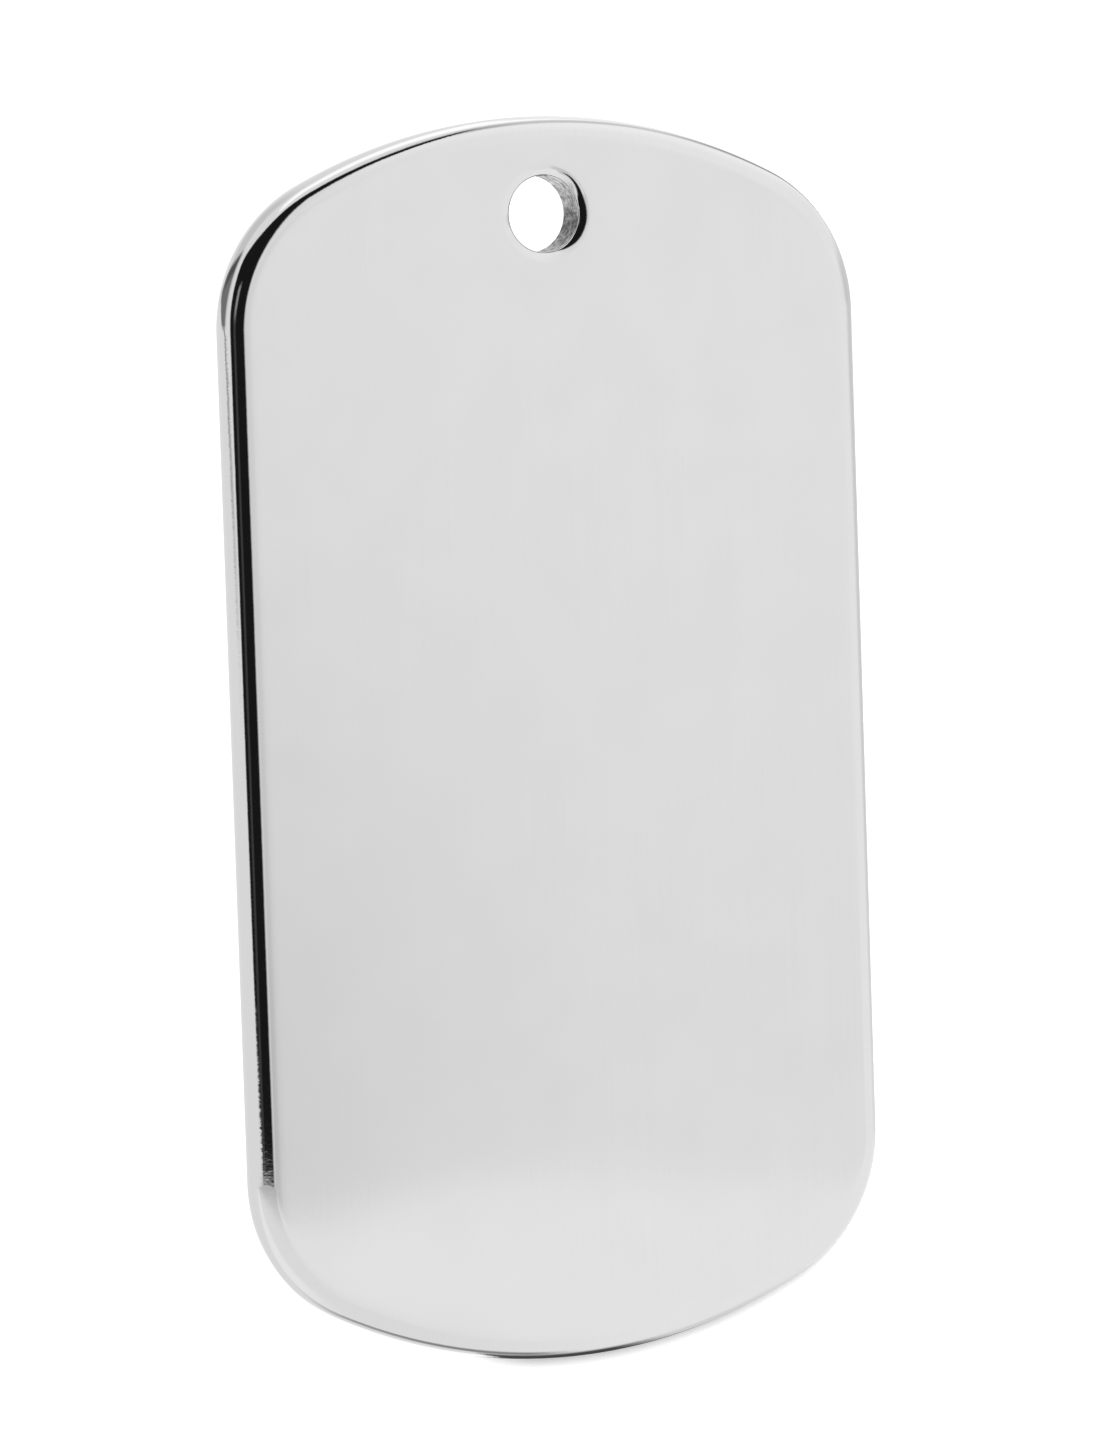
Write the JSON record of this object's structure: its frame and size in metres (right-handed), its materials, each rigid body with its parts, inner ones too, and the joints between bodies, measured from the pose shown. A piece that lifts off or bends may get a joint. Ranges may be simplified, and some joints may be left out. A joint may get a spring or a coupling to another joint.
{
  "type": "identification dog tag",
  "caption": "Blank polished steel identification tag: flat plate with straight sides, shallow round ends, a rounded rim and one chain hole near the top end.",
  "frame": {"origin": "middle of the back face, on the surface that the tag lies on", "axes": "+Z through the thickness, out of the front face; +Y towards the end with the hole; +X to the right of the front face"},
  "size_m": [0.028, 0.05, 0.0018],
  "materials": {
    "polished_steel": "satin-polished faces, mirror-polished rim, rough wall in the hole"
  },
  "bodies": {
    "root": {"tag_plate": "polished_steel"}
  },
  "joints": []
}
